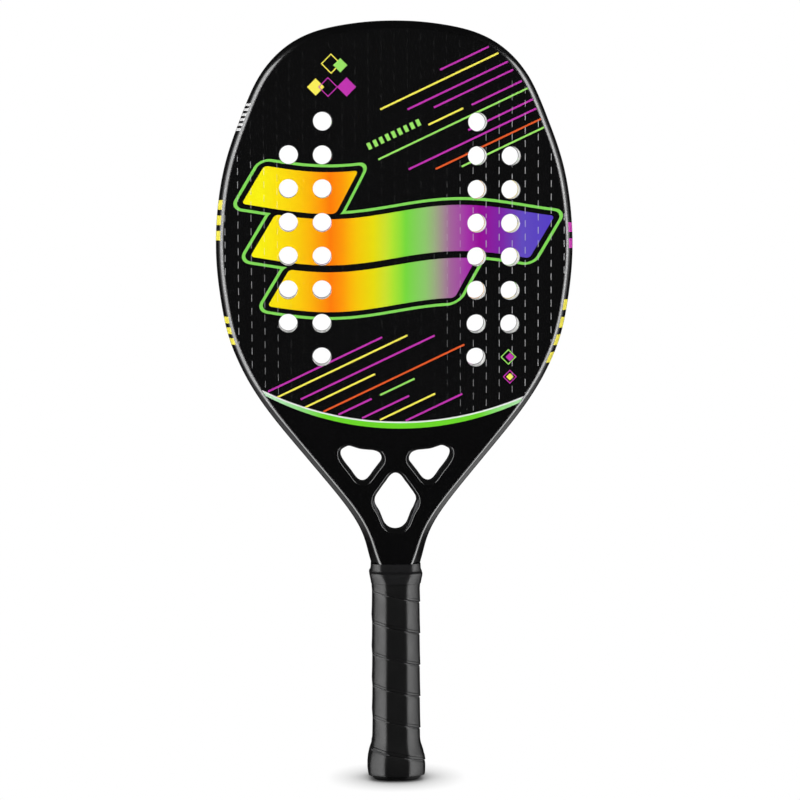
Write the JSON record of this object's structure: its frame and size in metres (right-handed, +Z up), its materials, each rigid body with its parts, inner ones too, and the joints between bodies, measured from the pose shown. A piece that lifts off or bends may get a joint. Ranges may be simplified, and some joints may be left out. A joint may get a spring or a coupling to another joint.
{
  "type": "beach tennis racket",
  "caption": "Beach tennis racket: drilled solid head on a foam core, hollow frame tube, throat with windows and an eight-sided handle wound with soft tape.",
  "frame": {"origin": "middle of the butt's underside, where the racket stands", "axes": "+Z up along the handle to the head, -Y out of the front face, +X to the right seen from the front"},
  "size_m": [0.2334, 0.0353, 0.5],
  "materials": {
    "gloss_composite": "gloss",
    "face_sheet": "gloss",
    "laminate": "satin",
    "core_foam": "matte",
    "handle_foam": "matte",
    "cap_plastic": "satin",
    "tack_steel": "satin",
    "grip_tape": "matte",
    "finishing_tape": "satin"
  },
  "bodies": {
    "root": {"frame_tube": "gloss_composite", "core_foam": "core_foam", "front_face": "face_sheet", "rear_face": "face_sheet", "throat_core": "core_foam", "throat_front_shell": "gloss_composite", "throat_rear_shell": "gloss_composite", "window_wrap_left": "laminate", "window_wrap_right": "laminate", "window_wrap_centre": "laminate", "shaft_core": "core_foam", "pallet_front": "handle_foam", "pallet_rear": "handle_foam", "butt_cap": "cap_plastic", "butt_tack_front": "tack_steel", "butt_tack_rear": "tack_steel", "grip_tape": "grip_tape", "finishing_tape": "finishing_tape"}
  },
  "joints": []
}
